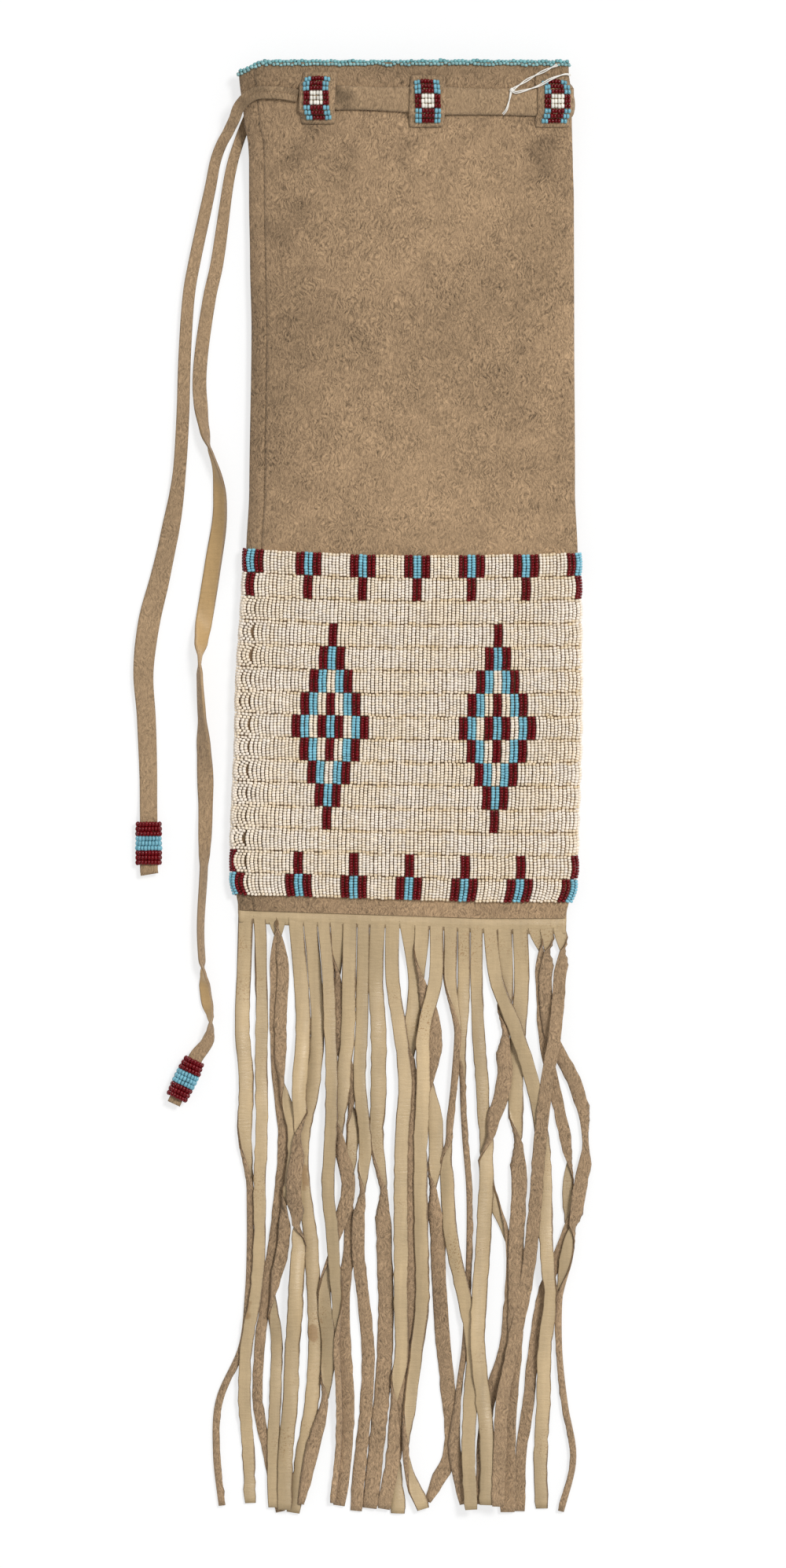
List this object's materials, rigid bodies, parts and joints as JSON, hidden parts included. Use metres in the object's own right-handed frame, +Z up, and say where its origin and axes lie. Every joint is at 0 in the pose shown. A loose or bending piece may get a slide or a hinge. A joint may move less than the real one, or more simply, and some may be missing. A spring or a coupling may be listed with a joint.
{
  "type": "beaded pipe bag",
  "caption": "Long flat hide bag with a beaded sleeve, beaded drawstring loops, a thong drawstring and a long cut fringe, lying on its back.",
  "frame": {"origin": "on the floor under the middle of the bag and its fringe, the free drawstring ends left out", "axes": "+Z up from the floor on which the bag lies, +Y along the bag to its mouth, +X to the right seen from above"},
  "size_m": [0.2427, 0.7776, 0.021],
  "materials": {
    "brown_hide": "matte suede",
    "buckskin": "matte",
    "cream_beads": "opaque gloss",
    "red_beads": "gloss",
    "blue_beads": "opaque gloss",
    "white_thread": "matte"
  },
  "bodies": {
    "root": {"bag_body": "brown_hide", "mouth_edging": "blue_beads", "bead_lane_01": "cream_beads", "bead_lane_02": "cream_beads", "bead_lane_03": "cream_beads", "bead_lane_04": "cream_beads", "bead_lane_05": "cream_beads", "bead_lane_06": "cream_beads", "bead_lane_07": "cream_beads", "bead_lane_08": "cream_beads", "bead_lane_09": "cream_beads", "bead_lane_10": "cream_beads", "bead_lane_11": "cream_beads", "bead_lane_12": "cream_beads", "bead_lane_13": "cream_beads", "bead_lane_14": "cream_beads", "bead_lane_15": "cream_beads", "tab_loop_front_1": "brown_hide", "tab_loop_front_2": "brown_hide", "tab_loop_front_3": "brown_hide", "tab_loop_back_1": "brown_hide", "tab_loop_back_2": "brown_hide", "tab_loop_back_3": "brown_hide", "tab_beadwork_front_1": "red_beads", "tab_beadwork_front_2": "red_beads", "tab_beadwork_front_3": "red_beads", "tab_beadwork_back_1": "red_beads", "tab_beadwork_back_2": "red_beads", "tab_beadwork_back_3": "red_beads", "drawstring_band": "brown_hide", "drawstring_end_front": "brown_hide", "drawstring_end_back": "brown_hide", "wrap_front_red_upper": "red_beads", "wrap_front_blue": "blue_beads", "wrap_front_red_lower": "red_beads", "wrap_back_red_upper": "red_beads", "wrap_back_blue": "blue_beads", "wrap_back_red_lower": "red_beads", "tie_thread": "white_thread", "fringe": "buckskin"}
  },
  "joints": []
}
